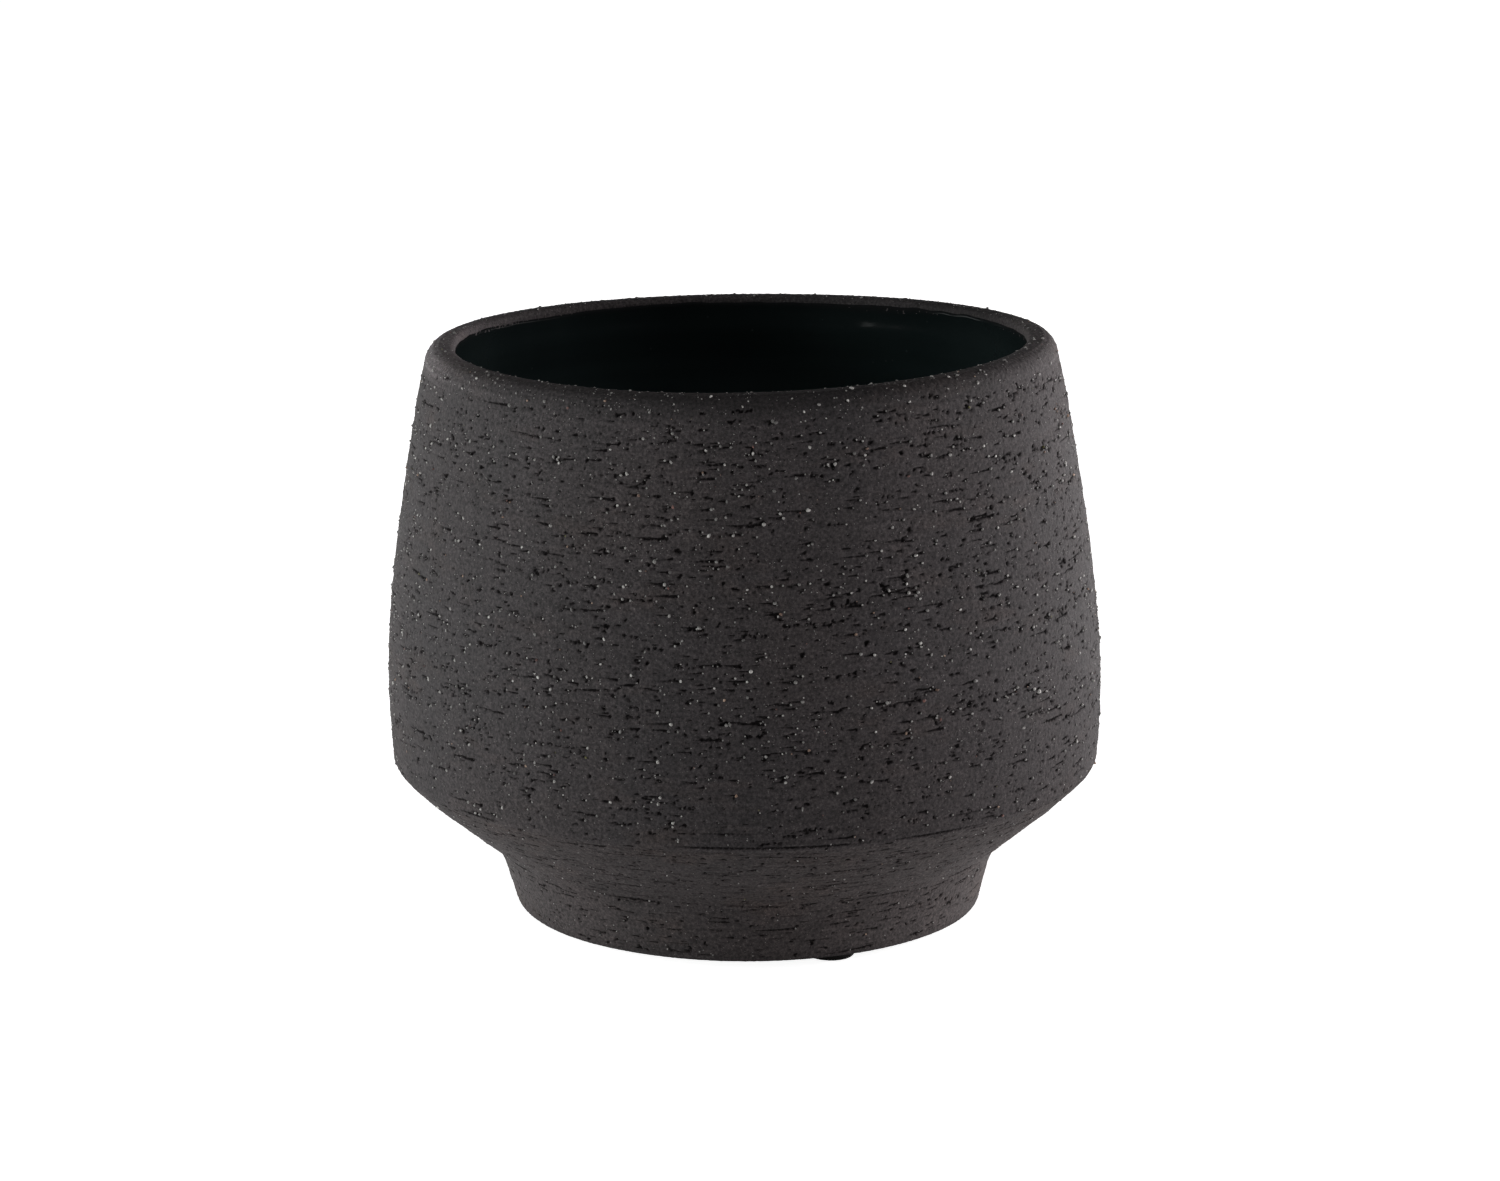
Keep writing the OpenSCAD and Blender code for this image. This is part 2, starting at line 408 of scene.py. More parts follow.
# grains that the clay still covers
n = 1300
ss, tt = spots(n, s_foot + 0.3, s_lip + 0.6, g)
for s0, th0 in zip(ss, tt):
    knoll(s0, th0, g.uniform(0.2, 0.45), g.uniform(0.03, 0.11))
grains = [(a_, b_, 0.90 * c_, d_) for a_, b_, c_, d_ in grains]
for s0, th0, size, kind in grains:
    if size > 0.34:
        knoll(s0, th0, size * 0.62, size * 0.16)

fade = np.clip(outside, 0, 1)
height = (relief - (cut - 0.0) * fade + bump * fade * (1 - np.clip(painted_cavity_shade, 0, 1))).astype(np.float32)
painted_cavity_shade *= fade


# ---- mesh helpers -----------------------------------------------------------
def build(name, verts, quads, tris, smooth=True):
    me = bpy.data.meshes.new(name)
    quads = np.asarray(quads, np.int32).reshape(-1, 4)
    tris = np.asarray(tris, np.int32).reshape(-1, 3)
    me.vertices.add(len(verts))
    me.vertices.foreach_set("co", np.asarray(verts, np.float32).ravel())
    nl = quads.size + tris.size
    me.loops.add(nl)
    me.loops.foreach_set("vertex_index", np.concatenate([quads.ravel(), tris.ravel()]))
    npoly = len(quads) + len(tris)
    me.polygons.add(npoly)
    start = np.concatenate([np.arange(len(quads)) * 4, quads.size + np.arange(len(tris)) * 3]).astype(np.int32)
    me.polygons.foreach_set("loop_start", start)
    me.update(calc_edges=True)
    me.validate()
    me.polygons.foreach_set("use_smooth", np.full(npoly, smooth, bool))
    me.update()
    ob = bpy.data.objects.new(name, me)
    scene.collection.objects.link(ob)
    return ob


class Rings:
    """A closed surface made of rings round the axis, which may change their number of columns."""

    def __init__(self):
        self.v, self.q, self.t, self.count, self.last = [], [], [], 0, None

    def block(self, pts):
        """pts: rows x columns x 3, joined on to the last ring."""
        rows, cols = pts.shape[:2]
        base = self.count
        self.v.append(pts.reshape(-1, 3))
        self.count += rows * cols
        idx = base + np.arange(rows * cols).reshape(rows, cols)
        if self.last is not None:
            self.join(self.last, idx[0])
        if rows > 1:
            a, b = idx[:-1], idx[1:]
            self.q.append(np.stack([a, np.roll(a, -1, 1), np.roll(b, -1, 1), b], -1).reshape(-1, 4))
        self.last = idx[-1]
        return base

    def join(self, lo, hi):
        if len(lo) == 1:
            self.t.append(np.stack([np.full(len(hi), lo[0]), np.roll(hi, -1), hi], -1))
        elif len(hi) == 1:
            self.t.append(np.stack([lo, np.roll(lo, -1), np.full(len(lo), hi[0])], -1))
        elif len(lo) == len(hi):
            self.q.append(np.stack([lo, np.roll(lo, -1), np.roll(hi, -1), hi], -1))
        else:
            up = len(hi) > len(lo)
            c, f = (lo, hi) if up else (hi, lo)
            k = len(f) // len(c)
            c1 = np.roll(c, -1)
            for m in range(k):
                f0 = f[m::k]
                f1 = np.roll(f, -1)[m::k]
                apex = c if m < k / 2 else c1
                tri = np.stack([apex, f1, f0], -1) if up else np.stack([f0, f1, apex], -1)
                self.t.append(tri)
                if m == (k + 1) // 2 - 1:
                    tri = np.stack([c, c1, f1], -1) if up else np.stack([f1, c1, c], -1)
                    self.t.append(tri)

    def make(self, name, smooth=True):
        q = np.concatenate(self.q) if self.q else np.zeros((0, 4))
        t = np.concatenate(self.t) if self.t else np.zeros((0, 3))
        return build(name, np.concatenate(self.v), q, t, smooth)


def revolve(pts, cols, disp=None):
    th = np.arange(cols) * 2 * np.pi / cols
    n = normals_of(pts)
    d = 0 if disp is None else disp
    r = pts[:, 0][:, None] + n[:, 0][:, None] * d + 0 * th[None, :]
    z = pts[:, 1][:, None] + n[:, 1][:, None] * d + 0 * th[None, :]
    return place(r, np.broadcast_to(th[None, :], r.shape), z)


def float_layer(ob, name, values):
    at = ob.data.attributes.new(name, "FLOAT", "POINT")
    at.data.foreach_set("value", np.asarray(values, np.float32).ravel())


# ---- the stoneware body ------------------------------------------------------
C = N // 4
body = Rings()
# underside: shallow recess, then the ring that the pads are stuck to
recess = np.concatenate([
    [P(0.6, recess_d), P(recess_r - 1.0, recess_d)],
    bez2(P(recess_r - 1.0, recess_d), P(recess_r, recess_d), P(recess_r + 0.05, recess_d - 0.9), np.linspace(0, 1, 9)[1:]),
    bez2(P(recess_r + 0.05, recess_d - 0.9), P(recess_r + 0.1, 0), P(recess_r + 0.7, 0), np.linspace(0, 1, 9)[1:]),
])
rec, _ = resample(recess, 0.9)
under = np.random.default_rng(5)
thc = np.arange(C) * 2 * np.pi / C
spiral = 0.04 * np.sin(rec[:, 0][:, None] * 2 * np.pi / 2.3 + thc[None, :])
b0 = body.block(place(np.zeros((1, 1)), np.zeros((1, 1)), np.full((1, 1), recess_d)))
body.block(revolve(rec, C, spiral + 0.02 * under.standard_normal((len(rec), C))))
ringp, _ = resample(np.array([P(recess_r + 0.75, 0), P(foot_r - 1.25, 0)]), 0.35)
uc = N // 2
thu = np.arange(uc) * 2 * np.pi / uc
worn = 0.03 * under.standard_normal((len(ringp), uc))
worn += 0.03 * np.sin(ringp[:, 0][:, None] * 2 * np.pi / 1.7 + 0.6 * np.sin(3 * thu)[None, :])
for _ in range(260):
    i, j = int(under.integers(0, len(ringp))), int(under.integers(0, uc))
    worn[max(0, i - 1):i + 1, j:j + 2] += under.uniform(0.12, 0.3)
    # a hole in the face goes into the clay
worn = -np.abs(worn) * 0.6
body.block(revolve(ringp, uc, worn))
base = body.block(revolve(prof, N, height))
# inside of the clay, behind the glaze
inner = np.concatenate([
    [P(throat_r, H - 5.3)], bez3(in_0, in_1, in_2, in_3, T), bez3(in_3, in_4, in_5, in_6, T), [P(0.8, floor_z)]])
inn, _ = resample(inner, 1.2)
body.block(revolve(inn, C))
body.block(place(np.zeros((1, 1)), np.zeros((1, 1)), np.full((1, 1), floor_z)))
jar = body.make("stoneware_vessel")
# the painted shade of grooves, pits and turned lines goes into the cavity attribute
pit_layer = np.zeros(body.count, np.float32)
pit_layer[base:base + M * N] = painted_cavity_shade.ravel()
float_layer(jar, "cavity", pit_layer)
zone = np.zeros(body.count, np.float32)
zone[base:base + M * N] = np.broadcast_to(foot_zone, (M, N)).ravel()
float_layer(jar, "turned", zone)
# painted light and shade on the outside of the rim, kept in the rim attribute: the left end much paler, the right end a
# little paler, the front lip and a patch at the back right darker
edge = np.ones(body.count, np.float32)
painted_rim_light_and_shade = np.abs(np.sin(TH)) ** 12 * np.where(np.sin(TH) > 0, 0.35, 2.2) - 0.40 * np.clip(np.cos(TH), 0, 1) ** 2
painted_rim_light_and_shade = painted_rim_light_and_shade - 0.48 * np.exp(-(((TH - 2.16 + np.pi) % (2 * np.pi) - np.pi) / 0.36) ** 2)
edge[base:base + M * N] = (1 + rim_zone * outside * painted_rim_light_and_shade[None, :]).ravel()
float_layer(jar, "rim", edge)


# ---- grog: small broken grains standing in the surface --------------------------
def ico():
    p = (1 + 5 ** 0.5) / 2
    v = np.array([[-1, p, 0], [1, p, 0], [-1, -p, 0], [1, -p, 0], [0, -1, p], [0, 1, p], [0, -1, -p], [0, 1, -p],
                  [p, 0, -1], [p, 0, 1], [-p, 0, -1], [-p, 0, 1]], float)
    f = np.array([[0, 11, 5], [0, 5, 1], [0, 1, 7], [0, 7, 10], [0, 10, 11], [1, 5, 9], [5, 11, 4], [11, 10, 2],
                  [10, 7, 6], [7, 1, 8], [3, 9, 4], [3, 4, 2], [3, 2, 6], [3, 6, 8], [3, 8, 9], [4, 9, 5],
                  [2, 4, 11], [6, 2, 10], [8, 6, 7], [9, 8, 1]])
    return v / np.linalg.norm(v, axis=1)[:, None], f


def finer(v, f):
    v = list(map(tuple, v))
    seen, out = {}, []

    def mid(a, b):
        k = (min(a, b), max(a, b))
        if k not in seen:
            m = (np.array(v[a]) + np.array(v[b])) / 2
            v.append(tuple(m / np.linalg.norm(m)))
            seen[k] = len(v) - 1
        return seen[k]

    for a, b, c in f:
        ab, bc, ca = mid(a, b), mid(b, c), mid(c, a)
        out += [[a, ab, ca], [b, bc, ab], [c, ca, bc], [ab, bc, ca]]
    return np.array(v), np.array(out)


V1, F1 = ico()
V2, F2 = finer(V1, F1)
VO = np.array([[1, 0, 0], [-1, 0, 0], [0, 1, 0], [0, -1, 0], [0, 0, 1], [0, 0, -1]], float)
FO = np.array([[0, 2, 4], [2, 1, 4], [1, 3, 4], [3, 0, 4], [2, 0, 5], [1, 2, 5], [3, 1, 5], [0, 3, 5]])

gg = np.random.default_rng(77)
gv, gf, gc, gn = [], [], [], 0
for s0, th0, size, kind in grains:
    i = (s0 / LEN) * (M - 1)
    i0 = int(np.clip(i, 0, M - 2))
    w = float(np.clip(i - i0, 0, 1))
    j0 = int(round(th0 / DTH)) % N
    pr = prof[i0] * (1 - w) + prof[i0 + 1] * w
    nr = unit(nrm[i0] * (1 - w) + nrm[i0 + 1] * w)
    hgt = float(relief[i0, j0])
    V, F = (V2, F2) if size > 0.42 else (V1, F1) if size > 0.2 else (VO, FO)
    # a broken grain: random cuts flatten a stretched ball
    q = gg.standard_normal((3, 3))
    q, _ = np.linalg.qr(q)
    stretch = np.array([gg.uniform(0.8, 1.2), gg.uniform(0.7, 1.05), gg.uniform(0.6, 0.95)])
    p = V * (1 + gg.uniform(-0.09, 0.09, len(V)))[:, None]
    for _ in range(5):
        d = gg.standard_normal(3)
        d /= np.linalg.norm(d)
        over = p @ d - gg.uniform(0.62, 0.9)
        p = p - np.clip(over, 0, None)[:, None] * d
    p = (p * stretch) @ q.T * (size / 2)
    sink = gg.uniform(-0.22, 0.26) * size / 2
    rr = pr[0] + nr[0] * (hgt - sink)
    zz = pr[1] + nr[1] * (hgt - sink)
    c = place(np.array(rr), np.array(th0), np.array(zz))
    gv.append(p * MM + c)
    gf.append(F + gn)
    gn += len(V)
    pick = gg.random()
    hue = 0.0 if pick < (0.945 if size > 0.3 else 0.978) else (1.0 if pick < 0.982 else (2.0 if pick < 0.993 else 3.0))
    gc.append(np.stack([np.full(len(V), gg.random()), np.full(len(V), hue)], 1))
gc = np.concatenate(gc)
grog = build("grog_grains", np.concatenate(gv), np.zeros((0, 4)), np.concatenate(gf), smooth=False)
float_layer(grog, "shade", gc[:, 0])
float_layer(grog, "kind", gc[:, 1])


# ---- the glaze inside ---------------------------------------------------------
GC = 768
gth = np.arange(GC) * 2 * np.pi / GC


def wave(seed, ks, amp):
    w = np.random.default_rng(seed)
    out = np.zeros(GC)
    for k in ks:
        out += w.normal(0, 1) * np.cos(k * gth) + w.normal(0, 1) * np.sin(k * gth)
    return amp * out / max(1e-9, out.std())


top_line = H - glaze_line + 0.30 + wave(3, range(2, 9), 0.13) + wave(4, range(14, 60), 0.06)
wallp = np.concatenate([
    [P(throat_r, H - 1.35), P(throat_r, in_0[1])], bez3(in_0, in_1, in_2, in_3, T),
    bez3(in_3, in_4, in_5, in_6, T), [P(0.8, floor_z)]])
gp, gs = resample(wallp, 0.5)
gnm = normals_of(gp)
# gp[0] sits on the uneven glaze line, and the next rows catch up with the wall
k_blend = np.clip(1 - gs / 6.0, 0, 1)[:, None] ** 1.5
rowz = gp[:, 1][:, None] + (top_line[None, :] - gp[0, 1]) * k_blend
rowr = np.broadcast_to(gp[:, 0][:, None], rowz.shape).copy()
thick = 0.03 + (glaze_t - 0.03) * step_up(gs, 0.3, 6.0)[:, None] + 0 * gth[None, :]
gw = np.random.default_rng(9)
ripple = np.zeros_like(thick)
for _ in range(26):
    ku, kv = int(gw.integers(1, 9)), gw.uniform(0.02, 0.25)
    ripple += gw.normal(0, 1) * np.cos(ku * gth[None, :] + kv * gs[:, None] * 2 + gw.uniform(0, 6.28))
ripple *= 0.03 / ripple.std()
ring = 0.035 * np.sin(gs * 2 * np.pi / 3.6 + 0.7 * np.sin(gs / 5.0))[:, None]
ring = ring * np.clip(gs / 6.0, 0, 1)[:, None]
calm = np.clip((rowr - 3.0) / 32.0, 0, 1) ** 1.5      # the floor is smoother than the wall
front = thick + (ripple * np.clip(gs / 3, 0, 1)[:, None] + ring) * calm
front = np.maximum(front, 0.02)
fr = rowr + gnm[:, 0][:, None] * front
fz = rowz + gnm[:, 1][:, None] * front
br = rowr - gnm[:, 0][:, None] * 0.12
bz = rowz - gnm[:, 1][:, None] * 0.12
gl = Rings()
gl.block(place(np.zeros((1, 1)), np.zeros((1, 1)), np.full((1, 1), floor_z - 0.12)))
TG = np.broadcast_to(gth[None, :], fr.shape)
gl.block(place(br[::-1], TG, bz[::-1]))
gl.block(place(fr, TG, fz))
gl.block(place(np.zeros((1, 1)), np.zeros((1, 1)), np.full((1, 1), floor_z + glaze_t)))
glaze = gl.make("glaze_coat")
thin = np.zeros(gl.count, np.float32)
first = gl.count - 1 - fr.size
break_line = 0.45 + wave(6, range(2, 12), 0.08) + 0.5 * np.exp(-((gth - 2.66) / 0.22) ** 2)
thin[first:first + fr.size] = (step_up(1.8 - gs[:, None] / np.clip(break_line, 0.3, 3)[None, :], 0, 1.8)).ravel()
float_layer(glaze, "edge", thin)


# ---- pads and their adhesive film --------------------------------------------------
PAD_R = foot_r - 1.6 - 4.0
pads, films = [], []
for k in range(3):
    a = math.radians(-66 + 120 * k)
    cx, cy = PAD_R * math.cos(a), PAD_R * math.sin(a)
    pp = np.concatenate([
        [P(0.3, 0.0), P(3.35, 0.0)],
        bez2(P(3.35, 0.0), P(3.95, 0.02), P(4.0, 0.42), np.linspace(0, 1, 9)[1:]),
        [P(3.98, 1.05)],
        bez2(P(3.98, 1.05), P(3.97, 1.28), P(3.75, 1.3), np.linspace(0, 1, 6)[1:]),
        [P(0.3, 1.3)]])
    pq, ps = resample(pp, 0.16)
    pn = normals_of(pq)
    cols = 128
    th = np.arange(cols) * 2 * np.pi / cols
    pg = np.random.default_rng(100 + k)
    d = 0.012 * pg.standard_normal((len(pq), cols)) * (pq[:, 1] > 0.05)[:, None]
    d += 0.02 * np.sin(3 * th + k)[None, :] * (pq[:, 0] > 3.5)[:, None]
    r = pq[:, 0][:, None] + pn[:, 0][:, None] * d
    z = pq[:, 1][:, None] + pn[:, 1][:, None] * d
    z = np.clip(z, 0.0, 1.3)
    pts = np.stack([(cx + r * np.sin(th)) * MM, (cy - r * np.cos(th)) * MM, z * MM], -1)
    ring = Rings()
    ring.block(np.array([[[cx * MM, cy * MM, 0.0]]]))
    ring.block(pts)
    ring.block(np.array([[[cx * MM, cy * MM, 1.3 * MM]]]))
    pads.append(ring.make(f"pad_{k + 1}"))
    edge_r = 3.8 + 0.03 * np.sin(2 * th + k) + 0.012 * np.sin(7 * th + 2 * k)
    rows = []
    for rr, zz in ((0.4, 1.3), (2.2, 1.3), (1.0, 1.3), (1.0, 1.36), (1.0, 1.44), (1.0, 1.5), (2.2, 1.5), (0.4, 1.5)):
        rad = edge_r * (1.0 if rr == 1.0 else 0.0) + (0 if rr == 1.0 else rr)
        if rr == 1.0 and zz in (1.3, 1.5):
            rad = rad - 0.03
        rows.append(np.stack([(cx + rad * np.sin(th)) * MM, (cy - rad * np.cos(th)) * MM, np.full(cols, zz * MM)], -1))
    film = Rings()
    film.block(np.array([[[cx * MM, cy * MM, 1.3 * MM]]]))
    film.block(np.stack(rows))
    film.block(np.array([[[cx * MM, cy * MM, 1.5 * MM]]]))
    films.append(film.make(f"film_{k + 1}"))


# ---- materials ------------------------------------------------------------------
def material(name):
    m = bpy.data.materials.new(name)
    m.use_nodes = True
    nt = m.node_tree
    return m, nt, nt.nodes["Principled BSDF"]


class Net:
    def __init__(self, nt):
        self.nt = nt

    def node(self, kind, **kw):
        n = self.nt.nodes.new(kind)
        for k, v in kw.items():
            setattr(n, k, v)
        return n

    def link(self, a, b):
        self.nt.links.new(a, b)

    def noise(self, vec, scale, detail=2.0, rough=0.5):
        n = self.node("ShaderNodeTexNoise")
        n.inputs["Scale"].default_value = scale
        n.inputs["Detail"].default_value = detail
        n.inputs["Roughness"].default_value = rough
        self.link(vec, n.inputs["Vector"])
        return n.outputs["Fac"]

    def mapped(self, vec, scale, shift=(0, 0, 0)):
        n = self.node("ShaderNodeMapping")
        n.inputs["Scale"].default_value = scale
        n.inputs["Location"].default_value = shift
        self.link(vec, n.inputs["Vector"])
        return n.outputs["Vector"]

    def ramp(self, fac, stops, interp="LINEAR"):
        n = self.node("ShaderNodeValToRGB")
        cr = n.color_ramp
        cr.interpolation = interp
        while len(cr.elements) < len(stops):
            cr.elements.new(0.5)
        for e, (p, c) in zip(cr.elements, stops):
            e.position = p
            e.color = (*c, 1.0) if len(c) == 3 else c
        self.link(fac, n.inputs["Fac"])
        return n.outputs["Color"]

    def grey(self, fac, a, b, va=0.0, vb=1.0):
        n = self.node("ShaderNodeMapRange")
        n.inputs["From Min"].default_value = a
        n.inputs["From Max"].default_value = b
        n.inputs["To Min"].default_value = va
        n.inputs["To Max"].default_value = vb
        self.link(fac, n.inputs["Value"])
        return n.outputs["Result"]

    def math(self, op, a, b=None, clamp=False):
        n = self.node("ShaderNodeMath", operation=op, use_clamp=clamp)
        for i, x in enumerate((a, b)):
            if x is None:
                continue
            if isinstance(x, (int, float)):
                n.inputs[i].default_value = x
            else:
                self.link(x, n.inputs[i])
        return n.outputs[0]

    def mix(self, fac, a, b, blend="MIX"):
        n = self.node("ShaderNodeMix", data_type="RGBA", blend_type=blend)
        for sock, x in ((n.inputs[0], fac), (n.inputs[6], a), (n.inputs[7], b)):
            if isinstance(x, (int, float)):
                sock.default_value = x
            elif isinstance(x, tuple):
                sock.default_value = (*x, 1.0)
            else:
                self.link(x, sock)
        return n.outputs[2]

    def attr(self, name):
        return self.node("ShaderNodeAttribute", attribute_name=name).outputs["Fac"]

    def voronoi(self, vec, scale, feature="F1", rnd=1.0):
        n = self.node("ShaderNodeTexVoronoi", feature=feature)
        n.inputs["Scale"].default_value = scale
        n.inputs["Randomness"].default_value = rnd
        self.link(vec, n.inputs["Vector"])
        return n

    def bump(self, height, strength, distance, normal=None):
        n = self.node("ShaderNodeBump")
        n.inputs["Strength"].default_value = strength
        n.inputs["Distance"].default_value = distance
        self.link(height, n.inputs["Height"])
        if normal is not None:
            self.link(normal, n.inputs["Normal"])
        return n.outputs["Normal"]


# stoneware: matt charcoal with a brown cast, turning lines, pale specks, and painted shade that darkens pores, pits and
# grooves
m_clay, nt, bsdf = material("stoneware_clay")
k = Net(nt)
pos = k.node("ShaderNodeTexCoord").outputs["Object"]
cloud = k.noise(pos, 26.0, 4.0, 0.55)
tone = k.ramp(cloud, [(0.30, (0.0375, 0.0345, 0.0358)), (0.52, (0.0485, 0.0437, 0.0447)), (0.72, (0.058, 0.0512, 0.0508))])
lines = k.noise(k.mapped(pos, (70.0, 70.0, 1500.0)), 1.0, 3.0, 0.6)
tone = k.mix(k.grey(lines, 0.35, 0.70, 0.0, 0.38), tone, (0.030, 0.0275, 0.0275))
warm = k.noise(k.mapped(pos, (1.0, 1.0, 3.0), (3.1, 0.4, 0.2)), 60.0, 3.0, 0.6)
tone = k.mix(k.grey(warm, 0.55, 0.78, 0.0, 0.5), tone, (0.064, 0.050, 0.045))
# fine pale dust of broken grog, smaller than the modelled grains
dust = k.voronoi(pos, 3300.0)
cell = k.node("ShaderNodeSeparateColor")
k.link(dust.outputs["Color"], cell.inputs[0])
rare = k.grey(cell.outputs[0], 0.955, 0.965)
near = k.grey(dust.outputs["Distance"], 0.30, 0.16)
speck = k.math("MULTIPLY", rare, near, True)
tone = k.mix(k.math("MULTIPLY", speck, 0.75), tone, (0.22, 0.21, 0.20))
# pores: tiny holes made only by a bump, darkened with painted shade
pore = k.voronoi(k.mapped(pos, (1.0, 1.0, 1.6), (0.7, 0.2, 0.5)), 2300.0)
pc = k.node("ShaderNodeSeparateColor")
k.link(pore.outputs["Color"], pc.inputs[0])
hole = k.math("MULTIPLY", k.grey(pc.outputs[1], 0.90, 0.92), k.grey(pore.outputs["Distance"], 0.42, 0.22), True)
tone = k.mix(k.math("MULTIPLY", hole, 0.8), tone, (0.012, 0.011, 0.011))
# painted shade in the modelled grooves and pits, read from the cavity attribute
cav = k.attr("cavity")
ragged = k.noise(pos, 2600.0, 2.0, 0.6)
cavm = k.math("MULTIPLY", cav, k.grey(ragged, 0.30, 0.62, 0.55, 1.30), True)
tone = k.mix(k.grey(cavm, 0.18, 0.75, 0.0, 0.94), tone, (0.0046, 0.0040, 0.0041))
grit = k.noise(pos, 2100.0, 3.0, 0.75)
tone = k.mix(1.0, tone, k.ramp(grit, [(0.30, (0.36, 0.345, 0.352)), (0.50, (1.0, 0.96, 0.98)), (0.70, (2.0, 1.90, 1.92))]), "MULTIPLY")
# faint upright streaks where the wet slip ran
streak = k.noise(k.mapped(pos, (1.0, 1.0, 0.04), (0.3, 0.9, 0.0)), 150.0, 2.0, 0.5)
tone = k.mix(1.0, tone, k.ramp(streak, [(0.34, (0.91, 0.92, 0.92)), (0.50, (0.98, 0.98, 0.98)), (0.66, (1.05, 1.05, 1.05))]), "MULTIPLY")
# the turned foot and slope are a little warmer; painted light and shade on the rim: its ends paler, the front lip and a
# patch at the back right darker
tone = k.mix(k.attr("turned"), tone, (1.07, 1.03, 1.0), "MULTIPLY")
tone = k.mix(1.0, tone, k.attr("rim"), "MULTIPLY")
k.link(tone, bsdf.inputs["Base Color"])
rough = k.grey(cloud, 0.3, 0.7, 0.78, 0.90)
k.link(rough, bsdf.inputs["Roughness"])
k.link(k.grey(cavm, 0.1, 0.7, 0.32, 0.03), bsdf.inputs["Specular IOR Level"])
tooth = k.noise(pos, 2400.0, 3.0, 0.65)
n1 = k.bump(tooth, 0.55, 0.00016)
n2 = k.bump(lines, 0.25, 0.00010, n1)
n3 = k.bump(k.math("SUBTRACT", 1.0, hole), 0.5, 0.00012, n2)
k.link(n3, bsdf.inputs["Normal"])

# grog grains: milky quartz, tan, brick red and a few olive ones
m_grog, nt, bsdf = material("grog_mineral")
k = Net(nt)
pos = k.node("ShaderNodeTexCoord").outputs["Object"]
shade = k.attr("shade")
white = k.ramp(shade, [(0.0, (0.14, 0.133, 0.13)), (0.45, (0.33, 0.32, 0.31)), (0.8, (0.58, 0.56, 0.54)), (1.0, (0.85, 0.83, 0.80))])
tan = k.ramp(shade, [(0.0, (0.20, 0.125, 0.095)), (1.0, (0.50, 0.33, 0.24))])
brick = k.ramp(shade, [(0.0, (0.12, 0.055, 0.048)), (1.0, (0.25, 0.11, 0.09))])
olive = k.ramp(shade, [(0.0, (0.08, 0.075, 0.03)), (1.0, (0.20, 0.19, 0.07))])
kind = k.attr("kind")
col = k.mix(k.grey(kind, 0.4, 0.6), white, tan)
col = k.mix(k.grey(kind, 1.4, 1.6), col, brick)
col = k.mix(k.grey(kind, 2.4, 2.6), col, olive)
grit = k.noise(pos, 5200.0, 2.0, 0.6)
col = k.mix(k.grey(grit, 0.40, 0.68, 0.0, 0.6), col, (0.05, 0.045, 0.042))
k.link(col, bsdf.inputs["Base Color"])
k.link(k.grey(grit, 0.3, 0.7, 0.35, 0.65), bsdf.inputs["Roughness"])
bsdf.inputs["Specular IOR Level"].default_value = 0.5
k.link(k.bump(grit, 0.3, 0.00006), bsdf.inputs["Normal"])

# glaze: glossy black with a teal cast, faint specks
m_glaze, nt, bsdf = material("teal_black_glaze")
k = Net(nt)
pos = k.node("ShaderNodeTexCoord").outputs["Object"]
pool = k.noise(k.mapped(pos, (1.0, 1.0, 0.5)), 45.0, 3.0, 0.55)
col = k.ramp(pool, [(0.3, (0.0380, 0.0570, 0.0585)), (0.6, (0.0480, 0.0700, 0.0715)), (0.8, (0.0570, 0.0800, 0.0820))])
# painted light and shade: the glaze is made near black just under the rim and lighter further down, standing in for how
# light falls inside the jar
depth = k.node("ShaderNodeSeparateXYZ")
k.link(pos, depth.inputs[0])
col = k.mix(1.0, col, k.ramp(k.grey(depth.outputs[2], 0.060, 0.095), [(0.0, (1.0, 1.0, 1.0)), (0.42, (0.90, 0.90, 0.90)),
                                                                    (0.75, (0.36, 0.36, 0.36)), (1.0, (0.15, 0.15, 0.15))]), "MULTIPLY")
fleck = k.voronoi(pos, 900.0)
fc = k.node("ShaderNodeSeparateColor")
k.link(fleck.outputs["Color"], fc.inputs[0])
fm = k.math("MULTIPLY", k.grey(fc.outputs[0], 0.95, 0.97), k.grey(fleck.outputs["Distance"], 0.24, 0.10), True)
col = k.mix(k.math("MULTIPLY", fm, 0.5), col, (0.05, 0.06, 0.06))
col = k.mix(k.math("MULTIPLY", k.attr("edge"), 0.7), col, (0.016, 0.015, 0.016))
k.link(col, bsdf.inputs["Base Color"])
dull = k.math("ADD", k.grey(pool, 0.3, 0.7, 0.09, 0.13), k.math("MULTIPLY", k.attr("edge"), 0.12))
k.link(k.math("ADD", dull, k.grey(depth.outputs[2], 0.014, 0.050, 0.17, 0.0)), bsdf.inputs["Roughness"])
bsdf.inputs["IOR"].default_value = 1.5
k.link(k.grey(k.attr("edge"), 0.0, 0.5, 0.11, 0.0), bsdf.inputs["Specular IOR Level"])
peel = k.noise(pos, 420.0, 2.0, 0.5)
k.link(k.bump(peel, 0.12, 0.0002), bsdf.inputs["Normal"])

# pad: matt black foam rubber
m_pad, nt, bsdf = material("pad_black_rubber")
k = Net(nt)
pos = k.node("ShaderNodeTexCoord").outputs["Object"]
cells = k.voronoi(pos, 3800.0)
col = k.ramp(cells.outputs["Distance"], [(0.0, (0.006, 0.006, 0.006)), (0.6, (0.014, 0.0135, 0.013))])
scuff = k.noise(pos, 700.0, 3.0, 0.6)
col = k.mix(k.grey(scuff, 0.58, 0.8, 0.0, 0.5), col, (0.035, 0.033, 0.031))
k.link(col, bsdf.inputs["Base Color"])
k.link(k.grey(scuff, 0.3, 0.7, 0.75, 0.95), bsdf.inputs["Roughness"])
bsdf.inputs["Specular IOR Level"].default_value = 0.25
k.link(k.bump(cells.outputs["Distance"], 0.4, 0.00008), bsdf.inputs["Normal"])

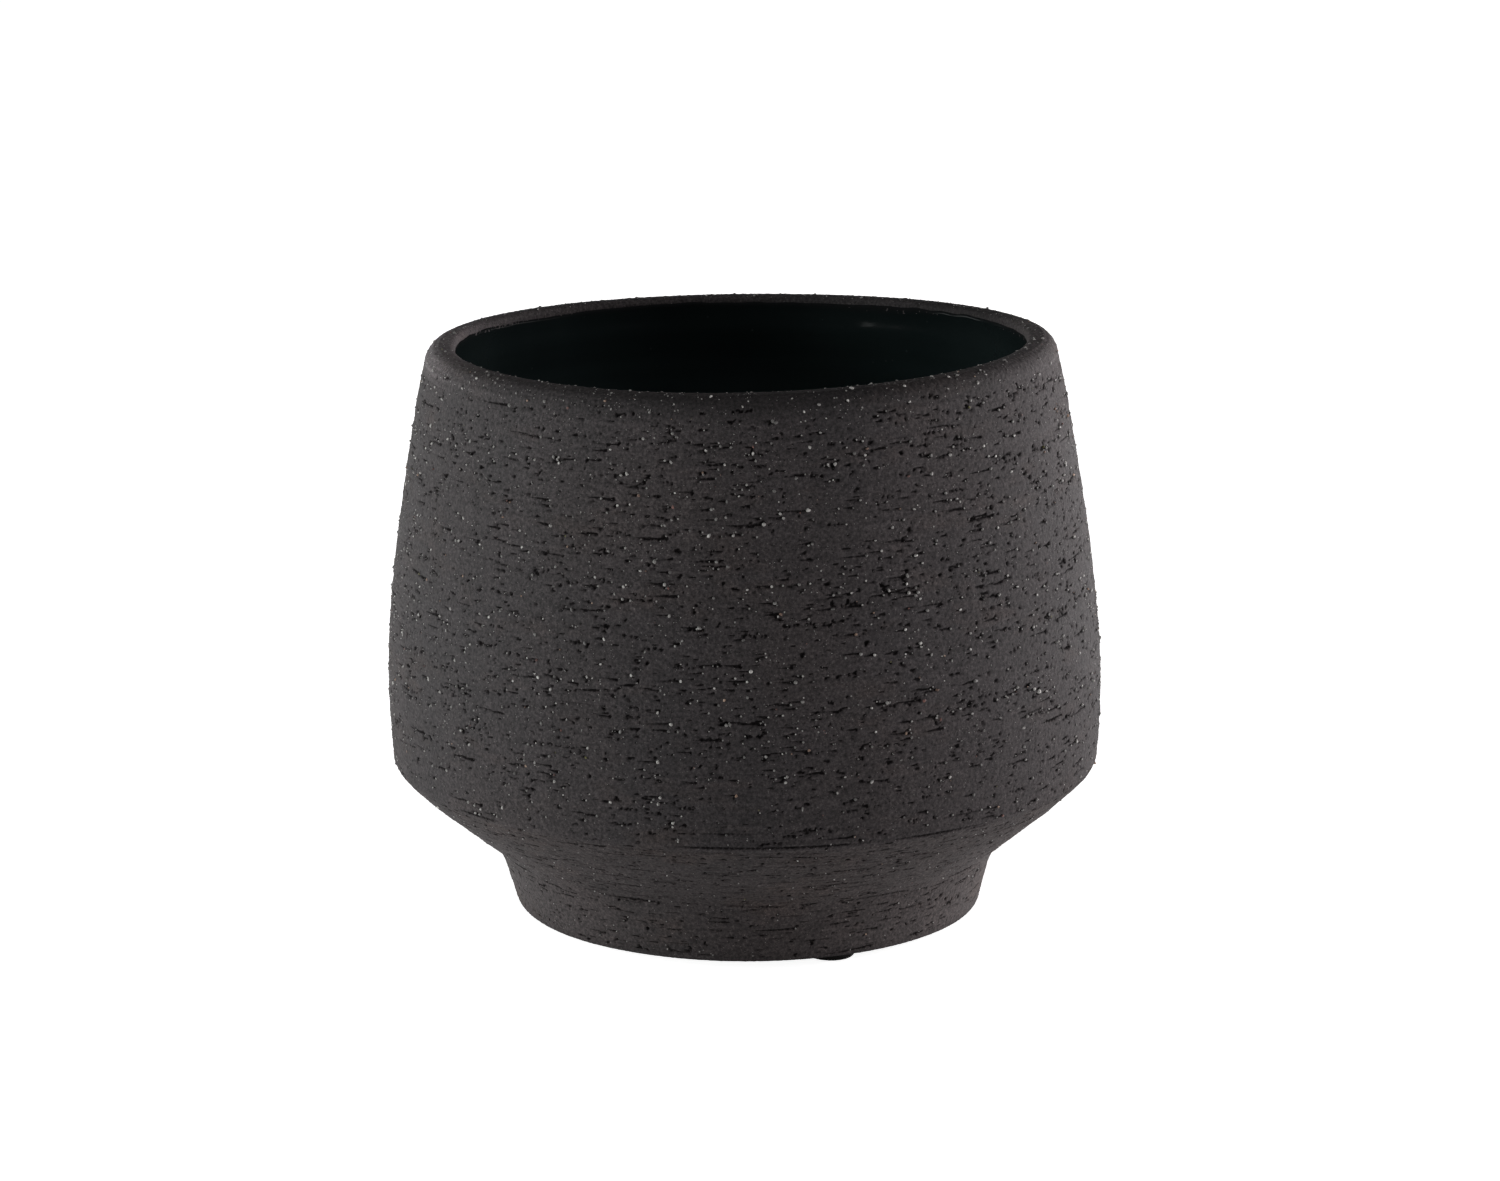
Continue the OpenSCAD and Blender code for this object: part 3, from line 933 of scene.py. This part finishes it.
# adhesive film: pale, slightly yellow acrylic
m_film, nt, bsdf = material("adhesive_acrylic")
k = Net(nt)
pos = k.node("ShaderNodeTexCoord").outputs["Object"]
fib = k.noise(pos, 1500.0, 4.0, 0.6)
k.link(k.ramp(fib, [(0.3, (0.30, 0.28, 0.22)), (0.7, (0.42, 0.40, 0.33))]), bsdf.inputs["Base Color"])
k.link(k.grey(fib, 0.3, 0.7, 0.3, 0.5), bsdf.inputs["Roughness"])
k.link(k.bump(fib, 0.2, 0.00005), bsdf.inputs["Normal"])


def dress(ob, mat):
    ob.data.materials.clear()
    ob.data.materials.append(mat)


dress(jar, m_clay)
dress(grog, m_grog)
dress(glaze, m_glaze)
for o in pads:
    dress(o, m_pad)
for o in films:
    dress(o, m_film)

# ---- tie the pieces to the frame ----------------------------------------------------
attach(jar, "root")
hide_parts("stoneware_body")
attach(grog, "root")
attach(glaze, "root")
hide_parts("interior_glaze")
for i, (p_, f_) in enumerate(zip(pads, films), 1):
    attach(p_, "root")
    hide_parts(f"foot_pad_{i}")
    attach(f_, "root")
    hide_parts(f"pad_adhesive_{i}")

# the plain CAD nodes carry the same materials, for whoever shows them
for name, mat in (("stoneware_body", m_clay), ("interior_glaze", m_glaze), ("foot_pad_1", m_pad), ("foot_pad_2", m_pad),
                  ("foot_pad_3", m_pad), ("pad_adhesive_1", m_film), ("pad_adhesive_2", m_film), ("pad_adhesive_3", m_film)):
    for slot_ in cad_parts[name].material_slots:
        slot_.material = mat

# ---- stage: floor, light, camera ------------------------------------------------------
# A white table: one sheet that the camera sees, and a card under it that throws light up at
# the pot. The card is dark below the pot and in front of it, where the pot and the camera
# keep the light away.
def visible_to(ob, camera, others):
    ob.visible_camera = camera
    ob.visible_diffuse = ob.visible_glossy = ob.visible_transmission = ob.visible_shadow = others


def disc(name, radii, z, levels, cols_=96):
    """A flat disc with a glow level on every ring; a level may differ by direction."""
    ca = np.arange(cols_) * 2 * np.pi / cols_
    rings = Rings()
    rings.block(np.array([[[0.0, 0.0, z]]]))
    rings.block(np.stack([np.stack([r_ * np.sin(ca), -r_ * np.cos(ca), np.full(cols_, z)], -1) for r_ in radii[1:]]))
    ob = rings.make(name, smooth=False)
    glow = [levels[0][0]]
    for lv in levels[1:]:
        glow += list(np.interp(ca, np.radians([0, 90, 180, 270, 360]), tuple(lv) + (lv[0],)))
    float_layer(ob, "glow", np.array(glow))
    return ob


floor = disc("floor", [0.0, 0.05, 0.10, 0.25, 1.0, 6.0], 0.0, [(v,) * 4 for v in (0.93, 0.93, 0.97, 1.0, 1.05, 1.05)])
m_floor, nt, bsdf = material("white_table")
k = Net(nt)
bsdf.inputs["Base Color"].default_value = (0.80, 0.80, 0.80, 1)
bsdf.inputs["Roughness"].default_value = 0.9
bsdf.inputs["Specular IOR Level"].default_value = 0.0
bsdf.inputs["Emission Color"].default_value = (1, 1, 1, 1)
k.link(k.attr("glow"), bsdf.inputs["Emission Strength"])
dress(floor, m_floor)
visible_to(floor, True, False)

GLOW_R = [0.0, 0.0405, 0.0425, 0.049, 0.060, 0.088, 0.150, 0.320, 0.560, 1.5]
GLOW = {  # front, right, back, left
    0: (0.0, 0.0, 0.0, 0.0), 1: (0.0, 0.0, 0.0, 0.0), 2: (0.18, 1.85, 0.5, 1.20), 3: (0.18, 1.80, 0.5, 1.20),
    4: (0.16, 0.68, 0.5, 1.00), 5: (0.16, 0.30, 0.5, 0.33), 6: (0.08, 1.35, 0.8, 1.02), 7: (0.52, 2.3, 1.0, 0.92),
    8: (0.52, 2.3, 1.0, 0.92), 9: (0.0, 0.0, 0.0, 0.0)}
bounce = disc("bounce_card", GLOW_R, -0.0003, [GLOW[i] for i in range(len(GLOW_R))])
m_card, nt, bsdf = material("bounce_card")
k = Net(nt)
bsdf.inputs["Base Color"].default_value = (0.80, 0.80, 0.80, 1)
bsdf.inputs["Roughness"].default_value = 1.0
bsdf.inputs["Specular IOR Level"].default_value = 0.0
bsdf.inputs["Emission Color"].default_value = (1, 1, 1, 1)
k.link(k.attr("glow"), bsdf.inputs["Emission Strength"])
dress(bounce, m_card)
visible_to(bounce, False, True)

# soft strips to both sides and behind: azimuth (0 = camera side, 90 = right), height, width,
# tallness in metres, radiance, colour
COOL, WARM, PLAIN = (0.965, 1.0, 0.985), (1.03, 0.99, 0.99), (1.0, 1.0, 1.0)
STRIPS = [
    (-60, 0.165, 0.26, 0.32, 2.9, COOL), (-75, 0.165, 0.26, 0.32, 7.2, COOL), (-90, 0.165, 0.26, 0.32, 9.5, COOL),
    (-110, 0.165, 0.26, 0.32, 5.6, COOL),
    (-140, 0.165, 0.26, 0.32, 1.2, COOL), (-160, 0.165, 0.26, 0.32, 2.4, COOL), (-90, 0.50, 0.45, 0.30, 2.8, COOL),
    (75, 0.165, 0.26, 0.32, 0.8, WARM), (90, 0.165, 0.26, 0.32, 3.9, WARM), (105, 0.165, 0.26, 0.32, 8.3, WARM),
    (122, 0.165, 0.26, 0.32, 10.0, WARM),
    (140, 0.165, 0.26, 0.32, 4.6, WARM), (160, 0.165, 0.26, 0.32, 1.6, WARM), (90, 0.50, 0.45, 0.30, 4.2, WARM),
    (0, 0.65, 0.50, 0.30, 1.75, PLAIN),
]
for i, (az, up_, w_, h_, power, tint) in enumerate(STRIPS):
    ld = bpy.data.lights.new(f"strip_{i}", "AREA")
    ld.shape = "RECTANGLE"
    ld.size, ld.size_y = w_, h_
    ld.energy = math.pi * w_ * h_ * power
    ld.color = tint
    lo = bpy.data.objects.new(f"strip_{i}", ld)
    lo.visible_camera = False
    a_ = math.radians(az)
    z_ = np.array([math.sin(a_), -math.cos(a_), 0.0])
    x_ = np.cross((0, 0, 1), z_)
    mw = np.eye(4)
    mw[:3, 0], mw[:3, 1], mw[:3, 2] = x_, np.cross(z_, x_), z_
    mw[:3, 3] = (z_[0], z_[1], up_)
    lo.matrix_world = Matrix(mw.tolist())
    scene.collection.objects.link(lo)

# a dim panel straight above, facing down
ld = bpy.data.lights.new("overhead", "AREA")
ld.shape = "RECTANGLE"
ld.size, ld.size_y = 0.40, 0.40
ld.energy = math.pi * 0.16 * 1.2
lo = bpy.data.objects.new("overhead", ld)
lo.visible_camera = False
lo.location = (0.0, 0.0, 1.05)
scene.collection.objects.link(lo)

world = bpy.data.worlds.new("studio")
scene.world = world
world.use_nodes = True
world.node_tree.nodes["Background"].inputs["Color"].default_value = (1, 1, 1, 1)
world.node_tree.nodes["Background"].inputs["Strength"].default_value = 1.0
world.cycles_visibility.diffuse = False
world.cycles_visibility.glossy = False
world.cycles_visibility.transmission = False
scene.view_settings.view_transform = "Standard"

cam_data = bpy.data.cameras.new("camera")
cam_data.sensor_width = 36.0
cam_data.sensor_fit = "HORIZONTAL"
cam_data.lens = 36.0 * 3865.1 / 1500.0
cam_data.clip_start, cam_data.clip_end = 0.01, 50.0
cam = bpy.data.objects.new("camera", cam_data)
scene.collection.objects.link(cam)
pitch, yaw, roll = 0.2317, 0.001, 0.0007
cy, sy, cp, sp, cr_, sr = math.cos(yaw), math.sin(yaw), math.cos(pitch), math.sin(pitch), math.cos(roll), math.sin(roll)
R0, Y0, Z0 = np.array([cy, -sy, 0]), np.array([sy, cy, 0]), np.array([0, 0, 1.0])
F_ = cp * Y0 - sp * Z0
U0 = sp * Y0 + cp * Z0
R_ = cr_ * R0 - sr * U0
U_ = sr * R0 + cr_ * U0
mw = np.eye(4)
mw[:3, 0], mw[:3, 1], mw[:3, 2] = R_, U_, -F_
mw[:3, 3] = (0.0, -6.6413 * H * MM, (2.1161 * H + LIFT) * MM)
cam.matrix_world = Matrix(mw.tolist())
scene.camera = cam

bpy.context.view_layer.update()
